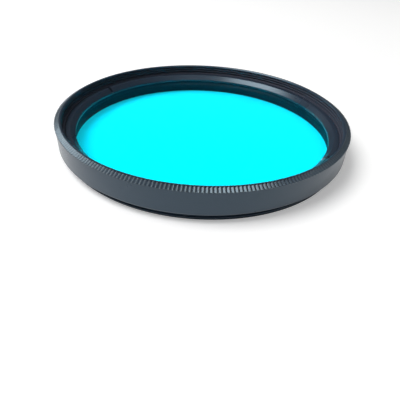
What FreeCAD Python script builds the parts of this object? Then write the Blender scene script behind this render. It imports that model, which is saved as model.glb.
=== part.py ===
import FreeCAD, Part
import math
import os

# Screw-in infrared cut filter for a camera lens: a turned ring with a thread at
# each end, a round filter glass on the ring's inner ledge, and a threaded
# retaining ring that clamps the glass.
# The origin is the centre of the ring's rear end face, which it lies on, and +Z
# points to the front rim. All sizes are in millimetres.

# Front and rear threads, drawn as the plain cylinders that a mate meets
thread_diameter = 77.0
thread_pitch = 0.75
thread_play = 0.05
front_thread_length = 2.4
rear_thread_length = 1.95
rear_relief_length = 0.35
rear_relief_cut = 0.05
rear_lead_chamfer = 0.12
front_lead_chamfer = 0.28

# Band and knurled shoulder
band_wall = 1.3
band_edge_chamfer = 0.12
shoulder_overhang = 0.2
shoulder_rise = 0.66
collar_height = 0.15
rim_flat_width = 0.38
knurl_pitch = 0.88
knurl_depth = 0.2
knurl_crest_width = 0.1
knurl_start_lift = 0.03
knurl_headroom = 0.1
knurl_overrun = 1.1

# Glass and the ledge under it
ledge_height = 1.0
ledge_width = 1.3
bore_edge_chamfer = 0.2
glass_thickness = 1.0
glass_insert_gap = 0.5
glass_play = 0.05
glass_proud = 0.1
glass_edge_chamfer = 0.12

# Retaining ring
retainer_thread_step = 0.5
retainer_height = 1.8
retainer_width = 2.5
retainer_bevel_width = 1.25
retainer_bevel_drop = 1.25
retainer_sink = 0.1
retainer_edge_chamfer = 0.12
slot_count = 2
slot_width = 0.9
slot_depth = 1.3
slot_angle = 148.0

# Radii, from the threads outwards and inwards. Crest and root of a 60 degree
# thread lie 5/8 of the sharp profile's height apart.
thread_sharp_height = thread_pitch * math.sqrt(3) / 2
thread_depth = thread_sharp_height * 5 / 8
front_major_radius = thread_diameter / 2
front_crest_radius = front_major_radius - thread_depth
rear_crest_radius = front_major_radius - thread_play
rear_root_radius = rear_crest_radius - thread_depth
relief_radius = rear_root_radius - rear_relief_cut
retainer_bore_radius = front_crest_radius - retainer_thread_step
retainer_outer_radius = retainer_bore_radius - thread_play
retainer_inner_radius = retainer_outer_radius - retainer_width
glass_radius = retainer_bore_radius - glass_insert_gap
pocket_radius = glass_radius + glass_play
bore_radius = glass_radius - ledge_width
band_radius = front_major_radius + band_wall
knurl_radius = band_radius + shoulder_overhang
rim_inner_radius = front_crest_radius + front_lead_chamfer
rim_outer_radius = rim_inner_radius + rim_flat_width
knurl_circumference = 2 * math.pi * knurl_radius
knurl_count = int(round(knurl_circumference / knurl_pitch))

# Heights, from the rear end face upwards
relief_z = rear_thread_length
band_z = relief_z + rear_relief_length
ledge_z = band_z + ledge_height
glass_top_z = ledge_z + glass_thickness
pocket_top_z = glass_top_z - glass_proud
retainer_top_z = glass_top_z + retainer_height
front_step_z = retainer_top_z + retainer_sink
rim_z = front_step_z + front_thread_length + front_lead_chamfer
shoulder_z = rim_z - shoulder_rise
collar_z = shoulder_z - collar_height


def turned(outline):
    """Solid of revolution about Z from its outline in radius and height."""
    corners = [FreeCAD.Vector(radius, 0, height) for radius, height in outline]
    wire = Part.makePolygon(corners + corners[:1])
    axis_point = FreeCAD.Vector(0, 0, 0)
    axis = FreeCAD.Vector(0, 0, 1)
    return Part.Face(wire).revolve(axis_point, axis, 360)


def copies_about_axis(shape, count, first_angle):
    """Copies of a shape, evenly spaced about Z."""
    copies = []
    for index in range(count):
        copy = shape.copy()
        angle = first_angle + 360.0 * index / count
        copy.rotate(FreeCAD.Vector(0, 0, 0), FreeCAD.Vector(0, 0, 1), angle)
        copies.append(copy)
    return copies


def corners_about_axis(radius, height, count):
    """Corners of a polygon about Z whose flats lie at a radius."""
    corner_radius = radius / math.cos(math.pi / count)
    corners = []
    for index in range(count):
        angle = 2 * math.pi * index / count
        x = corner_radius * math.cos(angle)
        y = corner_radius * math.sin(angle)
        corners.append(FreeCAD.Vector(x, y, height))
    return corners


def tooth_flats():
    """Closed shape with one upright side and one slope for each tooth.

    The slopes run on above the rim, so that the rim's own plane ends them.
    """
    slope_run = knurl_radius - rim_outer_radius
    top_radius = rim_outer_radius - knurl_headroom * slope_run / shoulder_rise
    rings = [
        corners_about_axis(knurl_radius, -knurl_headroom, knurl_count),
        corners_about_axis(knurl_radius, shoulder_z, knurl_count),
        corners_about_axis(top_radius, rim_z + knurl_headroom, knurl_count),
    ]
    outlines = [rings[0], rings[-1]]
    for lower, upper in zip(rings, rings[1:]):
        for index in range(knurl_count):
            following = (index + 1) % knurl_count
            outlines.append([lower[index], lower[following], upper[following], upper[index]])
    faces = [Part.Face(Part.makePolygon(outline + outline[:1])) for outline in outlines]
    return Part.makeSolid(Part.makeShell(faces))


def knurl_cutter():
    """Five-sided pyramid that cuts one groove of the knurl at +X.

    It starts just above the rim's outer edge and deepens outwards to
    knurl_depth at the collar. Above the shoulder its sides are upright, so that
    neighbouring cutters stay apart.
    """
    half_width = (knurl_circumference / knurl_count - knurl_crest_width) / 2
    start = FreeCAD.Vector(rim_outer_radius, 0, rim_z + knurl_start_lift)
    bottom = FreeCAD.Vector(knurl_radius, 0, shoulder_z - knurl_depth)
    section = [
        bottom,
        FreeCAD.Vector(knurl_radius, half_width, shoulder_z),
        FreeCAD.Vector(knurl_radius, half_width, rim_z + knurl_headroom),
        FreeCAD.Vector(knurl_radius, -half_width, rim_z + knurl_headroom),
        FreeCAD.Vector(knurl_radius, -half_width, shoulder_z),
    ]
    corners = [start + (corner - start) * knurl_overrun for corner in section]
    faces = [Part.Face(Part.makePolygon(corners + corners[:1]))]
    for first, second in zip(corners, corners[1:] + corners[:1]):
        faces.append(Part.Face(Part.makePolygon([start, first, second, start])))
    return Part.makeSolid(Part.makeShell(faces))


def mount_ring():
    """The one-piece ring with both threads, the ledge and the knurled shoulder.

    It is turned with a square collar, which the tooth flats then slope and the
    grooves notch.
    """
    outline = [
        (bore_radius + bore_edge_chamfer, 0),
        (rear_crest_radius - rear_lead_chamfer, 0),
        (rear_crest_radius, rear_lead_chamfer),
        (rear_crest_radius, relief_z),
        (relief_radius, relief_z),
        (relief_radius, band_z),
        (band_radius - band_edge_chamfer, band_z),
        (band_radius, band_z + band_edge_chamfer),
        (band_radius, collar_z),
        (knurl_radius + shoulder_overhang, collar_z),
        (knurl_radius + shoulder_overhang, rim_z),
        (rim_inner_radius, rim_z),
        (front_crest_radius, rim_z - front_lead_chamfer),
        (front_crest_radius, front_step_z),
        (retainer_bore_radius, front_step_z),
        (retainer_bore_radius, pocket_top_z),
        (pocket_radius, pocket_top_z),
        (pocket_radius, ledge_z),
        (bore_radius, ledge_z),
        (bore_radius, bore_edge_chamfer),
    ]
    grooves = copies_about_axis(knurl_cutter(), knurl_count, 0.0)
    return turned(outline).common(tooth_flats()).cut(grooves)


def filter_glass():
    """The flat round glass, which rests on the ledge."""
    outline = [
        (0, ledge_z),
        (glass_radius - glass_edge_chamfer, ledge_z),
        (glass_radius, ledge_z + glass_edge_chamfer),
        (glass_radius, glass_top_z - glass_edge_chamfer),
        (glass_radius - glass_edge_chamfer, glass_top_z),
        (0, glass_top_z),
    ]
    return turned(outline)


def retaining_ring():
    """The ring that screws down on the glass, with its spanner slots."""
    bevel_radius = retainer_inner_radius + retainer_bevel_width
    outline = [
        (retainer_inner_radius, glass_top_z),
        (retainer_outer_radius - retainer_edge_chamfer, glass_top_z),
        (retainer_outer_radius, glass_top_z + retainer_edge_chamfer),
        (retainer_outer_radius, retainer_top_z - retainer_edge_chamfer),
        (retainer_outer_radius - retainer_edge_chamfer, retainer_top_z),
        (bevel_radius, retainer_top_z),
        (retainer_inner_radius, retainer_top_z - retainer_bevel_drop),
    ]
    corner = FreeCAD.Vector(0, -slot_width / 2, retainer_top_z - slot_depth)
    slot = Part.makeBox(2 * retainer_outer_radius, slot_width, 2 * slot_depth, corner)
    return turned(outline).cut(copies_about_axis(slot, slot_count, slot_angle))


nodes = {
    "mount_ring": mount_ring(),
    "filter_glass": filter_glass(),
    "retaining_ring": retaining_ring(),
}

os.makedirs("parts", exist_ok=True)
for name, shape in nodes.items():
    solid = shape.Solids[0]
    solid.exportStep(os.path.join("parts", name + ".step"))
    box = solid.BoundBox
    print(name, "valid", solid.isValid(), "solids", len(shape.Solids), "volume", round(solid.Volume, 2))
    print("  radius", round(box.XMax, 3), "height", round(box.ZMin, 3), "to", round(box.ZMax, 3))
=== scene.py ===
import math

import bpy
from bpy.props import FloatProperty, FloatVectorProperty, IntProperty, PointerProperty
from mathutils import Matrix, Vector


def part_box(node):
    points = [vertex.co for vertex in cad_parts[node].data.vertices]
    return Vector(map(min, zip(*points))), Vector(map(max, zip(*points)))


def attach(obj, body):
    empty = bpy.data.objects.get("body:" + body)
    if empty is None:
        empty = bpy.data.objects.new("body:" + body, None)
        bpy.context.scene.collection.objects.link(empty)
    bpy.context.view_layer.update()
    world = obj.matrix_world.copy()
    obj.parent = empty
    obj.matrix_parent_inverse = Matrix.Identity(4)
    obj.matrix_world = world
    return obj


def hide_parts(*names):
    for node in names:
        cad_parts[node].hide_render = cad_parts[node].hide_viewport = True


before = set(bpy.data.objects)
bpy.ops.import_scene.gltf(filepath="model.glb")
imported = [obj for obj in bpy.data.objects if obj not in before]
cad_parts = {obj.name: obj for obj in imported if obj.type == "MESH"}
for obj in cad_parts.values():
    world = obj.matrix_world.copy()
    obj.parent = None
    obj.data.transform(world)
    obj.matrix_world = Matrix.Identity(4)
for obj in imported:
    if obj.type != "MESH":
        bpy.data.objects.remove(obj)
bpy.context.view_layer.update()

bl_info = {
    "name": "Screw-in Camera Filter",
    "version": (1, 0, 0),
    "blender": (4, 5, 0),
    "location": "View3D > Sidebar > Filter",
    "description": "Knurled filter ring, its threads, the cyan glass and the retaining ring",
    "category": "Object",
}

# All lengths are metres. Those of the filter are written as millimetres times MM.
MM = 0.001
FULL_TURN = 2 * math.pi
SAME_PLACE = 0.0005 * MM

ring_low, ring_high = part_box("mount_ring")
glass_low, glass_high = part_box("filter_glass")
retainer_low, retainer_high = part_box("retaining_ring")


def length(name, description, default):
    """A length property in metres."""
    return FloatProperty(
        name=name, description=description, default=default,
        unit="LENGTH", precision=5, min=0.0,
    )


def colour(name, description, default):
    """A linear RGB colour property."""
    return FloatVectorProperty(
        name=name, description=description, default=default,
        subtype="COLOR", size=3, min=0.0, max=1.0,
    )


def factor(name, description, default, high=1.0):
    """A plain number property."""
    return FloatProperty(name=name, description=description, default=default, min=0.0, max=high)


class FilterRingSizes(bpy.types.PropertyGroup):
    """Sizes of the turned ring."""

    rim_height: length("Rim height", "Height of the front rim above the rear face", ring_high.z)
    collar_radius: length("Collar radius", "Radius over the knurl", 40.0 * MM)
    collar_height: length("Collar height", "Upright side of the knurled collar", 0.15 * MM)
    shoulder_rise: length("Shoulder rise", "Rise of the shoulder from the collar to the rim", 0.66 * MM)
    rim_width: length("Rim width", "Width of the flat on top of the rim", 0.38 * MM)
    band_radius: length("Band radius", "Radius of the plain band", 39.8 * MM)
    band_chamfer: length("Band chamfer", "Chamfer at the band's lower edge", 0.12 * MM)
    thread_radius: length("Thread radius", "Major radius of both threads", 38.5 * MM)
    thread_pitch: length("Thread pitch", "Rise of the threads in one turn", 0.75 * MM)
    thread_depth: length("Thread depth", "Depth of both threads", 0.406 * MM)
    tooth_depth: length("Tooth depth", "Depth of the knurl's grooves", 0.23 * MM)
    tooth_count: IntProperty(
        name="Teeth", description="Number of teeth in the knurl", default=286, min=12
    )


class FilterGlassSizes(bpy.types.PropertyGroup):
    """Size and colour of the filter glass."""

    edge_bevel: length("Edge bevel", "Ground bevel round both faces", 0.12 * MM)
    tint: colour("Tint", "Colour of white light after the glass", (0.0, 0.70, 0.82))


class FilterRetainerSizes(bpy.types.PropertyGroup):
    """Sizes of the retaining ring."""

    slot_width: length("Slot width", "Width of the two spanner slots", 0.9 * MM)
    slot_depth: length("Slot depth", "Depth of the two spanner slots", 1.3 * MM)
    slot_angle: FloatProperty(
        name="Slot angle", description="Direction of the slots about the axis",
        default=math.radians(148.0), subtype="ANGLE", unit="ROTATION",
    )


class FilterFinish(bpy.types.PropertyGroup):
    """Finish of the black anodised rings. The bore and mouth colours hold painted shade and painted
    light, and the glint colour holds a painted highlight.
    """

    anodised: colour("Anodised black", "Colour of the dyed surface", (0.025, 0.040, 0.065))
    retainer: colour("Retaining ring", "Colour of the retaining ring", (0.024, 0.036, 0.058))
    # Painted shade: the bore below the glass is given a darker colour than the outside anodising.
    bore: colour("Bore", "Colour of the matt bore under the glass", (0.016, 0.018, 0.026))
    # Painted light: the threaded wall above the glass is given a lighter colour than the outside
    # anodising.
    mouth: colour("Mouth", "Colour of the threaded wall above the glass", (0.052, 0.058, 0.084))
    # Painted highlight: a pale grey glint on the floor of the right slot only.
    painted_glint: colour("Painted glint", "Colour of the bare floor of the right slot", (0.42, 0.42, 0.42))
    worn: colour("Worn edge", "Colour of rubbed edges", (0.1, 0.12, 0.13))
    roughness: factor("Roughness", "Roughness of the satin surface", 0.28)


class FilterStage(bpy.types.PropertyGroup):
    """Camera and light."""

    elevation: FloatProperty(
        name="Camera tilt", description="How far the camera looks down",
        default=math.radians(36.48), subtype="ANGLE", unit="ROTATION",
    )
    roll: FloatProperty(
        name="Camera roll", description="Turn of the camera about its line of sight",
        default=math.radians(2.81), subtype="ANGLE", unit="ROTATION",
    )
    window_power: factor("Window power", "Power of the broad light on the left in watts", 7.6, 100.0)
    key_power: factor("Key power", "Power of the small lamp behind in watts", 0.4, 100.0)
    overhead_power: factor("Overhead power", "Power of the lamp above in watts", 0.75, 100.0)
    fill_power: factor("Fill power", "Power of the light above the camera in watts", 1.1, 100.0)
    low_power: factor("Low power", "Power of the low lamp behind in watts", 1.4, 100.0)
    ambient: factor("Ambient", "Strength of the white surroundings", 0.08, 10.0)


def to_edit_mode(piece):
    """Makes a piece the only selected one and opens it for editing, nothing selected."""
    bpy.ops.object.select_all(action="DESELECT")
    piece.select_set(True)
    bpy.context.view_layer.objects.active = piece
    bpy.ops.object.mode_set(mode="EDIT")
    bpy.ops.mesh.select_mode(type="VERT")
    bpy.ops.mesh.select_all(action="DESELECT")


def select_where(piece, test):
    """Selects a piece's vertices where test(radius, height, angle) holds, in edit mode."""
    bpy.ops.mesh.select_all(action="DESELECT")
    bpy.ops.object.mode_set(mode="OBJECT")
    for vertex in piece.data.vertices:
        x, y, z = vertex.co
        vertex.select = test(math.hypot(x, y), z, math.atan2(y, x))
    bpy.ops.object.mode_set(mode="EDIT")


def profile(name, outline):
    """A closed loop of edges in the XZ plane, drawn by extruding one vertex from point to point."""
    bpy.ops.object.select_all(action="DESELECT")
    radius, height = outline[0]
    bpy.ops.mesh.primitive_plane_add(size=MM, location=(radius, 0, height))
    piece = bpy.context.object
    piece.name = piece.data.name = name
    bpy.ops.object.transform_apply(location=True, rotation=False, scale=False)
    to_edit_mode(piece)
    bpy.ops.mesh.select_all(action="SELECT")
    bpy.ops.mesh.merge(type="CENTER")
    for start, end in zip(outline, outline[1:] + outline[:1]):
        step = (end[0] - start[0], 0, end[1] - start[1])
        bpy.ops.mesh.extrude_vertices_move(TRANSFORM_OT_translate={"value": step})
    bpy.ops.mesh.select_all(action="SELECT")
    bpy.ops.mesh.remove_doubles(threshold=SAME_PLACE)
    bpy.ops.object.mode_set(mode="OBJECT")
    return piece


def turned(name, outline, columns):
    """A closed ring, turned about Z from its outline."""
    piece = profile(name, outline)
    to_edit_mode(piece)
    bpy.ops.mesh.select_all(action="SELECT")
    bpy.ops.mesh.spin(
        steps=columns, angle=FULL_TURN, center=(0, 0, 0), axis=(0, 0, 1), use_auto_merge=True
    )
    bpy.ops.mesh.select_all(action="SELECT")
    bpy.ops.mesh.remove_doubles(threshold=SAME_PLACE)
    bpy.ops.mesh.normals_make_consistent(inside=False)
    bpy.ops.object.mode_set(mode="OBJECT")
    return piece


def round_loops(piece, corners, offset, segments):
    """Bevels the edge loops at the given (radius, height) corners."""
    near = 2 * SAME_PLACE
    to_edit_mode(piece)
    for corner in corners:
        select_where(
            piece,
            lambda radius, height, angle: math.hypot(radius - corner[0], height - corner[1]) < near,
        )
        bpy.ops.mesh.bevel(offset=offset, segments=segments, affect="EDGES")
    bpy.ops.object.mode_set(mode="OBJECT")


def apply_modifier(piece, modifier):
    """Applies a modifier to the only selected piece."""
    bpy.ops.object.select_all(action="DESELECT")
    piece.select_set(True)
    bpy.context.view_layer.objects.active = piece
    bpy.ops.object.modifier_apply(modifier=modifier.name)


def cut_away(piece, cutter):
    """Subtracts a cutter from a piece and deletes the cutter."""
    modifier = piece.modifiers.new("Cut", "BOOLEAN")
    modifier.operation = "DIFFERENCE"
    modifier.solver = "EXACT"
    modifier.object = cutter
    apply_modifier(piece, modifier)
    bpy.data.objects.remove(cutter)


def mark(piece, name, test):
    """Stores 1 in a named attribute at the vertices where test(radius, height, angle) holds."""
    attribute = piece.data.attributes.new(name, "FLOAT", "POINT")
    for vertex, item in zip(piece.data.vertices, attribute.data):
        x, y, z = vertex.co
        item.value = 1.0 if test(math.hypot(x, y), z, math.atan2(y, x)) else 0.0


def thread_cutter(name, outline, pitch, rise, columns, end_angle):
    """A groove's cross-section wound about Z as a closed helix that ends at an angle."""
    cutter = profile(name, outline)
    turns = rise / pitch
    modifier = cutter.modifiers.new("Thread", "SCREW")
    modifier.axis = "Z"
    modifier.angle = FULL_TURN * turns
    modifier.screw_offset = rise
    modifier.steps = modifier.render_steps = int(round(columns * turns))
    apply_modifier(cutter, modifier)
    to_edit_mode(cutter)
    bpy.ops.mesh.select_non_manifold()
    bpy.ops.mesh.fill_holes(sides=0)
    bpy.ops.mesh.select_all(action="SELECT")
    bpy.ops.mesh.normals_make_consistent(inside=False)
    bpy.ops.object.mode_set(mode="OBJECT")
    cutter.rotation_euler.z = end_angle - FULL_TURN * turns
    bpy.ops.object.transform_apply(location=False, rotation=True, scale=False)
    return cutter


def finish_piece(piece, node, materials):
    """Shades a piece, gives it its finishes and lets it stand for a CAD node."""
    bpy.ops.object.select_all(action="DESELECT")
    piece.select_set(True)
    bpy.context.view_layer.objects.active = piece
    bpy.ops.object.shade_smooth_by_angle(angle=math.radians(28))
    modifier = piece.modifiers.new("Flat faces", "WEIGHTED_NORMAL")
    modifier.keep_sharp = True
    modifier.weight = 100
    apply_modifier(piece, modifier)
    piece.data.materials.clear()
    for material in materials:
        piece.data.materials.append(material)
    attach(piece, "root")
    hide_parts(node)


class NodeSheet:
    """Small helper that adds and links the nodes of one material."""

    def __init__(self, name):
        self.material = bpy.data.materials.new(name)
        self.material.use_nodes = True
        self.tree = self.material.node_tree
        self.shader = self.tree.nodes["Principled BSDF"]
        self.output = self.tree.nodes["Material Output"]

    def add(self, kind, inputs=(), **settings):
        """Adds a node, sets its properties and sets or links its inputs."""
        node = self.tree.nodes.new(kind)
        for key, value in settings.items():
            setattr(node, key, value)
        for socket, value in dict(inputs).items():
            self.plug(node.inputs[socket], value)
        return node

    def plug(self, socket, value):
        """Links an output to a socket, or sets the socket to a plain value."""
        if isinstance(value, bpy.types.NodeSocket):
            self.tree.links.new(value, socket)
        else:
            socket.default_value = value


def anodised_material(name, surface_colour, finish):
    """Satin black anodised aluminium with turning marks and rubbed crests, and a painted highlight.

    The wear attribute marks the knurl's crests, and the painted_glint attribute marks the floor of the
    right slot, which is painted pale grey as a glint.
    """
    sheet = NodeSheet(name)
    place = sheet.add("ShaderNodeTexCoord").outputs["Object"]
    parts = sheet.add("ShaderNodeSeparateXYZ", {0: place})
    flat = sheet.add("ShaderNodeCombineXYZ", {"X": parts.outputs["X"], "Y": parts.outputs["Y"]})
    radius = sheet.add("ShaderNodeVectorMath", {0: flat.outputs[0]}, operation="LENGTH")
    section = sheet.add(
        "ShaderNodeCombineXYZ", {"X": radius.outputs["Value"], "Y": parts.outputs["Z"]}
    )
    marks = sheet.add(
        "ShaderNodeTexNoise",
        {"Vector": section.outputs[0], "Scale": 9000.0, "Detail": 2.0, "Roughness": 0.6},
    )
    grain = sheet.add(
        "ShaderNodeTexNoise", {"Vector": place, "Scale": 6000.0, "Detail": 3.0, "Roughness": 0.7}
    )
    cloud = sheet.add(
        "ShaderNodeTexNoise", {"Vector": place, "Scale": 90.0, "Detail": 3.0, "Roughness": 0.55}
    )
    worn = sheet.add("ShaderNodeAttribute", attribute_name="wear").outputs["Fac"]
    painted_glint = sheet.add("ShaderNodeAttribute", attribute_name="painted_glint").outputs["Fac"]
    spots = sheet.add(
        "ShaderNodeMapRange",
        {"Value": cloud.outputs[0], "From Min": 0.3, "From Max": 0.75, "To Min": 0.35, "To Max": 1.0},
    )
    rubbed = sheet.add("ShaderNodeMath", {0: worn, 1: spots.outputs[0]}, operation="MULTIPLY")
    tone = sheet.add(
        "ShaderNodeMix", {"Factor": rubbed.outputs[0]}, data_type="RGBA", blend_type="MIX"
    )
    sheet.plug(tone.inputs["A"], (*surface_colour, 1.0))
    sheet.plug(tone.inputs["B"], (*finish.worn, 1.0))
    # Mixes in the painted highlight, a pale grey glint on the floor of the right slot.
    metal = sheet.add("ShaderNodeMix", {"Factor": painted_glint}, data_type="RGBA", blend_type="MIX")
    sheet.plug(metal.inputs["A"], tone.outputs["Result"])
    sheet.plug(metal.inputs["B"], (*finish.painted_glint, 1.0))
    sheet.plug(sheet.shader.inputs["Base Color"], metal.outputs["Result"])
    gloss = sheet.add(
        "ShaderNodeMapRange",
        {
            "Value": cloud.outputs[0],
            "To Min": finish.roughness - 0.05,
            "To Max": finish.roughness + 0.07,
        },
    )
    sheet.plug(sheet.shader.inputs["Roughness"], gloss.outputs[0])
    sheet.shader.inputs["Specular IOR Level"].default_value = 0.72
    sheet.shader.inputs["Specular Tint"].default_value = (0.68, 0.88, 1.0, 1.0)
    fine = sheet.add(
        "ShaderNodeBump", {"Strength": 0.12, "Distance": 0.01 * MM, "Height": grain.outputs[0]}
    )
    lines = sheet.add(
        "ShaderNodeBump",
        {
            "Strength": 0.25, "Distance": 0.01 * MM,
            "Height": marks.outputs[0], "Normal": fine.outputs[0],
        },
    )
    sheet.plug(sheet.shader.inputs["Normal"], lines.outputs[0])
    return sheet.material


def bore_material(name, surface_colour, gloss):
    """Dull black of the ring's inside, with a fine sprayed grain. It is made twice: with a darker
    colour for painted shade in the bore below the glass, and with a lighter one for painted light on
    the threaded wall above it.
    """
    sheet = NodeSheet(name)
    place = sheet.add("ShaderNodeTexCoord").outputs["Object"]
    grain = sheet.add(
        "ShaderNodeTexNoise", {"Vector": place, "Scale": 4000.0, "Detail": 3.0, "Roughness": 0.7}
    )
    tone = sheet.add(
        "ShaderNodeMix", {"Factor": grain.outputs[0]}, data_type="RGBA", blend_type="MIX"
    )
    sheet.plug(tone.inputs["A"], (*(part * 0.6 for part in surface_colour), 1.0))
    sheet.plug(tone.inputs["B"], (*(part * 1.4 for part in surface_colour), 1.0))
    sheet.plug(sheet.shader.inputs["Base Color"], tone.outputs["Result"])
    sheet.shader.inputs["Roughness"].default_value = 0.6
    sheet.shader.inputs["Specular IOR Level"].default_value = gloss
    bump = sheet.add(
        "ShaderNodeBump", {"Strength": 0.3, "Distance": 0.02 * MM, "Height": grain.outputs[0]}
    )
    sheet.plug(sheet.shader.inputs["Normal"], bump.outputs[0])
    return sheet.material


def glass_material(name, tint):
    """Clear coated glass that passes its tint on to light and shadow alike."""
    sheet = NodeSheet(name)
    shader = sheet.shader
    shader.inputs["Base Color"].default_value = (*tint, 1.0)
    shader.inputs["Transmission Weight"].default_value = 1.0
    shader.inputs["Roughness"].default_value = 0.0
    shader.inputs["IOR"].default_value = 1.22
    shader.inputs["Specular Tint"].default_value = (0.2, 0.8, 1.0, 1.0)
    ray = sheet.add("ShaderNodeLightPath")
    one_face = tuple(math.sqrt(part) for part in tint)
    through = sheet.add("ShaderNodeBsdfTransparent", {"Color": (*one_face, 1.0)})
    mix = sheet.add(
        "ShaderNodeMixShader",
        {0: ray.outputs["Is Shadow Ray"], 1: shader.outputs[0], 2: through.outputs[0]},
    )
    sheet.plug(sheet.output.inputs["Surface"], mix.outputs[0])
    return sheet.material


def floor_material(name):
    """Pale floor that shows white to the camera, to metal and through glass.

    It glows a little round the filter, where its shadow is to show, and fully far away.
    """
    near_glow, far_glow = 0.3, 1.0
    glow_starts, glow_ends = 0.35, 0.9
    sheet = NodeSheet(name)
    ray = sheet.add("ShaderNodeLightPath")
    seen = sheet.add(
        "ShaderNodeMath",
        {0: ray.outputs["Is Camera Ray"], 1: ray.outputs["Is Glossy Ray"]}, operation="MAXIMUM",
    )
    seen = sheet.add(
        "ShaderNodeMath",
        {0: seen.outputs[0], 1: ray.outputs["Is Transmission Ray"]}, operation="MAXIMUM",
    )
    place = sheet.add("ShaderNodeTexCoord").outputs["Object"]
    distance = sheet.add("ShaderNodeVectorMath", {0: place}, operation="LENGTH").outputs["Value"]
    whiteness = sheet.add(
        "ShaderNodeMapRange",
        {
            "Value": distance, "From Min": glow_starts, "From Max": glow_ends,
            "To Min": near_glow, "To Max": far_glow,
        },
    )
    glow = sheet.add(
        "ShaderNodeMath", {0: seen.outputs[0], 1: whiteness.outputs[0]}, operation="MULTIPLY"
    )
    shader = sheet.shader
    shader.inputs["Base Color"].default_value = (0.87, 0.87, 0.87, 1.0)
    shader.inputs["Roughness"].default_value = 1.0
    shader.inputs["Specular IOR Level"].default_value = 0.0
    shader.inputs["Emission Color"].default_value = (1.0, 1.0, 1.0, 1.0)
    sheet.plug(shader.inputs["Emission Strength"], glow.outputs[0])
    return sheet.material


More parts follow.
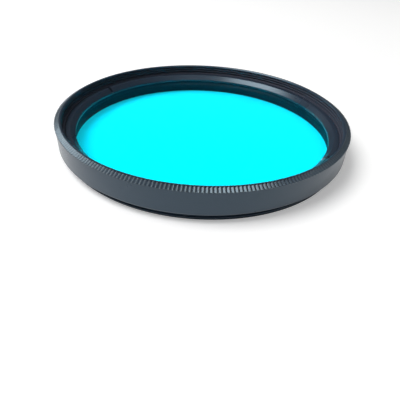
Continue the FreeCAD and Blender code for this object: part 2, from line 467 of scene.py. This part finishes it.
class FILTER_OT_mount_ring(bpy.types.Operator):
    """Turn the ring, press its knurl and cut both threads"""

    bl_idname = "filter.mount_ring"
    bl_label = "Mount ring"

    rear_thread_top = 1.95 * MM
    band_base = 2.3 * MM
    rear_chamfer = 0.12 * MM
    rim_chamfer = 0.28 * MM
    corner = 0.06 * MM
    soft_edge = 0.03 * MM
    band_corner = 0.2 * MM
    bore_edge = 0.2 * MM
    ledge_width = 1.3 * MM
    thread_play = 0.05 * MM
    glass_play = 0.05 * MM
    glass_proud = 0.1 * MM
    retainer_sink = 0.1 * MM
    relief_cut = 0.05 * MM
    knurl_start = 0.03 * MM
    knurl_stand_off = 0.02 * MM
    crest_round = 0.06 * MM
    crest_share = 0.3
    tool_margin = 0.05 * MM
    rear_run_out = 0.4 * MM
    rear_thread_end = 1.86 * MM
    front_thread_end_angle = math.radians(165)

    def measure(self, sizes):
        """Works out the radii and heights that the outline, knurl and threads share."""
        self.rim = sizes.rim_height
        self.collar = sizes.collar_radius
        self.shoulder = self.rim - sizes.shoulder_rise
        self.collar_base = self.shoulder - sizes.collar_height
        self.front_crest = sizes.thread_radius - sizes.thread_depth
        self.rear_crest = sizes.thread_radius - self.thread_play
        self.rim_inner = self.front_crest + self.rim_chamfer
        self.rim_outer = self.rim_inner + sizes.rim_width
        self.front_step = retainer_high.z + self.retainer_sink
        self.slope = math.atan2(sizes.shoulder_rise, self.collar - self.rim_outer)

    def on_slope(self, radius):
        """Height of the shoulder's slope at a radius."""
        return self.rim - (radius - self.rim_outer) * math.tan(self.slope)

    def knurl_rows(self, sizes):
        """Radius, height, slope angle and groove depth of the surface, row by row over the knurl.

        On the collar's side the grooves stop just short of the band's surface.
        """
        collar = self.collar
        corner = self.corner
        start = self.rim_outer + self.knurl_start
        bend = collar - corner * math.cos(self.slope)
        upright = math.radians(90)
        middle_radius = collar - corner * math.cos(self.slope) / 4
        middle_height = self.shoulder - corner * (1 - math.sin(self.slope)) / 4
        deep = sizes.tooth_depth
        side = min(deep, collar - sizes.band_radius - self.knurl_stand_off)
        return [
            (collar, self.collar_base, upright, side),
            (collar, self.shoulder - corner, upright, side),
            (middle_radius, middle_height, (upright + self.slope) / 2, (side + deep) / 2),
            (bend, self.on_slope(bend), self.slope, deep),
            (start, self.on_slope(start), self.slope, deep),
        ]

    def outline(self, sizes):
        """Outline of the ring in radius and height, from the rear bore upwards."""
        bore = glass_high.x - self.ledge_width
        pocket = glass_high.x + self.glass_play
        pocket_top = glass_high.z - self.glass_proud
        seat = retainer_high.x + self.thread_play
        relief = self.rear_crest - sizes.thread_depth - self.relief_cut
        band = sizes.band_radius
        return [
            (bore + self.bore_edge, 0.0),
            (self.rear_crest - self.rear_chamfer, 0.0),
            (self.rear_crest, self.rear_chamfer),
            (self.rear_crest, self.rear_thread_top),
            (relief, self.rear_thread_top),
            (relief, self.band_base),
            (band - sizes.band_chamfer, self.band_base),
            (band, self.band_base + sizes.band_chamfer),
            (band, self.collar_base),
            *[row[:2] for row in self.knurl_rows(sizes)],
            (self.rim_outer, self.rim),
            (self.rim_inner, self.rim),
            (self.front_crest, self.rim - self.rim_chamfer),
            (self.front_crest, self.front_step),
            (seat, self.front_step),
            (seat, pocket_top),
            (pocket, pocket_top),
            (pocket, glass_low.z),
            (bore, glass_low.z),
            (bore, self.bore_edge),
        ]

    def press_knurl(self, piece, sizes):
        """Sinks every other column into the surface, then rounds the crests between them."""
        half_pitch = math.pi / sizes.tooth_count

        def parity(angle):
            return int(round(angle / half_pitch)) % 2

        rows = self.knurl_rows(sizes)
        to_edit_mode(piece)
        for row_radius, row_height, lean, depth in rows:
            select_where(
                piece,
                lambda radius, height, angle: (
                    parity(angle) == 0
                    and math.hypot(radius - row_radius, height - row_height) < 2 * SAME_PLACE
                ),
            )
            shrink = 1 - depth * math.sin(lean) / row_radius
            drop = depth * math.cos(lean)
            bpy.ops.transform.resize(value=(shrink, shrink, 1), center_override=(0, 0, 0))
            bpy.ops.transform.translate(value=(0, 0, -drop))
        select_where(
            piece,
            lambda radius, height, angle: parity(angle) == 1 and any(
                math.hypot(radius - row_radius, height - row_height) < 2 * SAME_PLACE
                for row_radius, row_height, lean, depth in rows
            ),
        )
        bpy.ops.mesh.bevel(offset=self.crest_round, segments=2, affect="EDGES")
        bpy.ops.object.mode_set(mode="OBJECT")

    def cut_threads(self, piece, sizes):
        """Cuts the rear thread into the spigot and the front thread into the mouth."""
        pitch = sizes.thread_pitch
        columns = sizes.tooth_count
        flank = math.tan(math.radians(30))
        root_half = pitch / 16
        margin = self.tool_margin
        mouth_half = root_half + (sizes.thread_depth + margin) * flank
        inner = self.rear_crest - sizes.thread_depth
        outer = self.rear_crest + margin
        start = -self.rear_run_out
        rear = thread_cutter(
            "rear_thread_tool",
            [
                (inner, start - root_half),
                (outer, start - mouth_half),
                (outer, start + mouth_half),
                (inner, start + root_half),
            ],
            pitch, self.rear_thread_end - start, columns, 0.0,
        )
        cut_away(piece, rear)
        inner = self.front_crest - margin
        outer = sizes.thread_radius
        start = self.front_step + mouth_half
        end = self.rim - self.rim_chamfer - mouth_half
        front = thread_cutter(
            "front_thread_tool",
            [
                (outer, start - root_half),
                (outer, start + root_half),
                (inner, start + mouth_half),
                (inner, start - mouth_half),
            ],
            pitch, end - start, columns, self.front_thread_end_angle,
        )
        cut_away(piece, front)

    def execute(self, context):
        sizes = context.scene.filter_ring
        self.measure(sizes)
        outline = self.outline(sizes)
        piece = turned("mount_ring_turned", outline, 2 * sizes.tooth_count)
        self.press_knurl(piece, sizes)
        soft = [outline[1], outline[2], outline[6]]
        soft += [(self.rim_inner, self.rim), (self.front_crest, self.rim - self.rim_chamfer)]
        round_loops(piece, soft, self.soft_edge, 2)
        round_loops(piece, [outline[7]], self.band_corner, 4)
        half_pitch = math.pi / sizes.tooth_count
        mark(
            piece, "wear",
            lambda radius, height, angle: (
                height > self.collar_base and radius > self.rim_outer
                and abs(angle / half_pitch % 2 - 1) < self.crest_share
            ),
        )
        self.cut_threads(piece, sizes)
        finish = context.scene.filter_finish
        outside = anodised_material("ring_anodised_black", finish.anodised, finish)
        # The inside is made in two copies: a darker one for painted shade in the bore below the glass,
        # and a lighter one for painted light on the threaded wall above it.
        inside = bore_material("bore_matt_painted_shade", finish.bore, 0.2)
        mouth = bore_material("mouth_matt_painted_light", finish.mouth, 0.35)
        finish_piece(piece, "mount_ring", [outside, inside, mouth])
        mouth_top = self.rim - self.rim_chamfer
        # Faces below the glass take the painted shade, and faces of the threaded wall above it take the
        # painted light. The rest keep the outside anodising.
        for face in piece.data.polygons:
            x, y, z = face.center
            radius = math.hypot(x, y)
            if radius < glass_high.x and self.bore_edge / 2 < z < glass_high.z:
                face.material_index = 1
            elif radius < sizes.thread_radius and glass_high.z < z < mouth_top:
                face.material_index = 2
        return {"FINISHED"}


class FILTER_OT_filter_glass(bpy.types.Operator):
    """Cut the round glass and grind its edges"""

    bl_idname = "filter.filter_glass"
    bl_label = "Filter glass"

    def execute(self, context):
        sizes = context.scene.filter_glass
        bpy.ops.object.select_all(action="DESELECT")
        bpy.ops.mesh.primitive_cylinder_add(
            vertices=288, radius=glass_high.x, depth=glass_high.z - glass_low.z,
            location=(0, 0, (glass_low.z + glass_high.z) / 2),
        )
        piece = context.object
        piece.name = piece.data.name = "filter_glass_ground"
        bpy.ops.object.transform_apply(location=True, rotation=False, scale=False)
        to_edit_mode(piece)
        bpy.ops.mesh.select_mode(type="EDGE")
        bpy.ops.mesh.select_all(action="DESELECT")
        bpy.ops.object.mode_set(mode="OBJECT")
        for edge in piece.data.edges:
            ends = [piece.data.vertices[index].co.z for index in edge.vertices]
            edge.select = abs(ends[0] - ends[1]) < SAME_PLACE
        bpy.ops.object.mode_set(mode="EDIT")
        bpy.ops.mesh.bevel(offset=sizes.edge_bevel, segments=2, affect="EDGES")
        bpy.ops.object.mode_set(mode="OBJECT")
        material = glass_material("cyan_filter_glass", sizes.tint)
        finish_piece(piece, "filter_glass", [material])
        return {"FINISHED"}


class FILTER_OT_retaining_ring(bpy.types.Operator):
    """Turn the retaining ring and mill its spanner slots"""

    bl_idname = "filter.retaining_ring"
    bl_label = "Retaining ring"

    width = 2.5 * MM
    bevel_width = 1.25 * MM
    bevel_drop = 1.25 * MM
    edge = 0.12 * MM
    break_edge = 0.03 * MM

    def execute(self, context):
        sizes = context.scene.filter_retainer
        low, high = retainer_low.z, retainer_high.z
        outer = retainer_high.x
        inner = outer - self.width
        edge = self.edge
        outline = [
            (inner, low),
            (outer - edge, low),
            (outer, low + edge),
            (outer, high - edge),
            (outer - edge, high),
            (inner + self.bevel_width, high),
            (inner, high - self.bevel_drop),
        ]
        piece = turned("retaining_ring_turned", outline, 432)
        round_loops(piece, [outline[5]], 0.15 * MM, 3)
        round_loops(piece, [outline[6]], 0.08 * MM, 3)
        bpy.ops.object.select_all(action="DESELECT")
        bpy.ops.mesh.primitive_cube_add(size=1, location=(0, 0, high))
        slot = context.object
        slot.scale = (3 * outer, sizes.slot_width, 2 * sizes.slot_depth)
        slot.rotation_euler = (0, 0, sizes.slot_angle)
        bpy.ops.object.transform_apply(location=True, rotation=True, scale=True)
        cut_away(piece, slot)
        modifier = piece.modifiers.new("Edge break", "BEVEL")
        modifier.width = self.break_edge
        modifier.segments = 2
        modifier.limit_method = "ANGLE"
        modifier.angle_limit = math.radians(50)
        apply_modifier(piece, modifier)
        # Painted highlight: only the floor of the right slot is marked, for a pale grey glint.
        slot_floor = high - sizes.slot_depth
        mark(
            piece, "painted_glint",
            lambda radius, height, angle: (
                abs(height - slot_floor) < edge and radius < outer - edge
                and abs(radius * math.sin(angle - sizes.slot_angle)) < 0.52 * sizes.slot_width
                and math.cos(angle) > 0
            ),
        )
        finish = context.scene.filter_finish
        material = anodised_material("retainer_anodised_black", finish.retainer, finish)
        finish_piece(piece, "retaining_ring", [material])
        return {"FINISHED"}


class FILTER_OT_stage(bpy.types.Operator):
    """Set the floor, the soft light and the camera"""

    bl_idname = "filter.stage"
    bl_label = "Stage"

    floor_size = 6.0
    camera_place = (0.27 * MM, -100.99 * MM, 51.56 * MM)
    lens = 34.2

    def execute(self, context):
        stage = context.scene.filter_stage
        self.make_floor()
        self.make_light(stage)
        self.make_world(context, stage.ambient)
        self.make_camera(context, stage)
        context.scene.view_settings.view_transform = "Standard"
        return {"FINISHED"}

    def make_floor(self):
        """A large pale floor under the filter."""
        bpy.ops.object.select_all(action="DESELECT")
        bpy.ops.mesh.primitive_plane_add(size=self.floor_size)
        floor = bpy.context.object
        floor.name = "floor"
        floor.data.materials.append(floor_material("pale_floor"))

    def make_lamp(self, name, azimuth, elevation, size, power, tint=(1.0, 1.0, 1.0)):
        """A round soft lamp a metre away that faces the filter."""
        turn, rise = math.radians(azimuth), math.radians(elevation)
        reach = math.cos(rise)
        towards = Vector((math.cos(turn) * reach, math.sin(turn) * reach, math.sin(rise)))
        lamp = bpy.data.lights.new(name, "AREA")
        lamp.shape = "DISK"
        lamp.size = size
        lamp.energy = power
        lamp.color = tint
        holder = bpy.data.objects.new(name, lamp)
        bpy.context.scene.collection.objects.link(holder)
        holder.location = towards
        holder.rotation_euler = towards.to_track_quat("Z", "Y").to_euler()

    def make_light(self, stage):
        """A window light on the left, three lamps behind and above, and one in front."""
        self.make_lamp("window_light", 190, 60, 0.64, stage.window_power)
        self.make_lamp("key_light", 118, 61, 0.20, stage.key_power, (0.95, 1.0, 0.9))
        self.make_lamp("overhead_light", 95, 80, 0.56, stage.overhead_power)
        self.make_lamp("fill_light", -70, 55, 0.50, stage.fill_power)
        self.make_lamp("low_light", 135, 12, 0.50, stage.low_power)

    def make_world(self, context, strength):
        """White surroundings, at full white where the camera or glass sees them, and at the ambient
        strength for all other rays.
        """
        world = bpy.data.worlds.new("surroundings")
        context.scene.world = world
        world.use_nodes = True
        tree = world.node_tree
        background = tree.nodes["Background"]
        background.inputs["Color"].default_value = (1.0, 1.0, 1.0, 1.0)
        ray = tree.nodes.new("ShaderNodeLightPath")
        seen = tree.nodes.new("ShaderNodeMapRange")
        seen.inputs["To Min"].default_value = strength
        seen.inputs["To Max"].default_value = 1.0
        clear = tree.nodes.new("ShaderNodeMath")
        clear.operation = "MAXIMUM"
        tree.links.new(ray.outputs["Is Camera Ray"], clear.inputs[0])
        tree.links.new(ray.outputs["Is Transmission Ray"], clear.inputs[1])
        tree.links.new(clear.outputs[0], seen.inputs["Value"])
        tree.links.new(seen.outputs[0], background.inputs["Strength"])

    def make_camera(self, context, stage):
        """The photograph's viewpoint, in front of the filter and above it."""
        camera = bpy.data.cameras.new("photo_view")
        camera.lens = self.lens
        camera.clip_start = 1 * MM
        holder = bpy.data.objects.new("photo_view", camera)
        context.scene.collection.objects.link(holder)
        tilt = Matrix.Rotation(math.radians(90) - stage.elevation, 4, "X")
        roll = Matrix.Rotation(stage.roll, 4, "Z")
        holder.matrix_world = Matrix.Translation(self.camera_place) @ tilt @ roll
        context.scene.camera = holder


class FILTER_PT_panel(bpy.types.Panel):
    """Sizes, finishes and building steps of the filter"""

    bl_idname = "FILTER_PT_panel"
    bl_label = "Camera filter"
    bl_space_type = "VIEW_3D"
    bl_region_type = "UI"
    bl_category = "Filter"

    def draw(self, context):
        layout = self.layout
        for group in GROUPS:
            settings = getattr(context.scene, group)
            box = layout.box()
            for name in settings.bl_rna.properties.keys():
                if name not in {"rna_type", "name"}:
                    box.prop(settings, name)
        for step in STEPS:
            layout.operator(step.bl_idname)


GROUPS = {
    "filter_ring": FilterRingSizes,
    "filter_glass": FilterGlassSizes,
    "filter_retainer": FilterRetainerSizes,
    "filter_finish": FilterFinish,
    "filter_stage": FilterStage,
}
STEPS = (
    FILTER_OT_mount_ring,
    FILTER_OT_filter_glass,
    FILTER_OT_retaining_ring,
    FILTER_OT_stage,
)


def register():
    for name, group in GROUPS.items():
        bpy.utils.register_class(group)
        setattr(bpy.types.Scene, name, PointerProperty(type=group))
    for step in STEPS:
        bpy.utils.register_class(step)
    bpy.utils.register_class(FILTER_PT_panel)


def unregister():
    bpy.utils.unregister_class(FILTER_PT_panel)
    for step in reversed(STEPS):
        bpy.utils.unregister_class(step)
    for name, group in reversed(GROUPS.items()):
        delattr(bpy.types.Scene, name)
        bpy.utils.unregister_class(group)


def main():
    register()
    bpy.ops.filter.mount_ring()
    bpy.ops.filter.filter_glass()
    bpy.ops.filter.retaining_ring()
    bpy.ops.filter.stage()


if __name__ == "__main__":
    main()
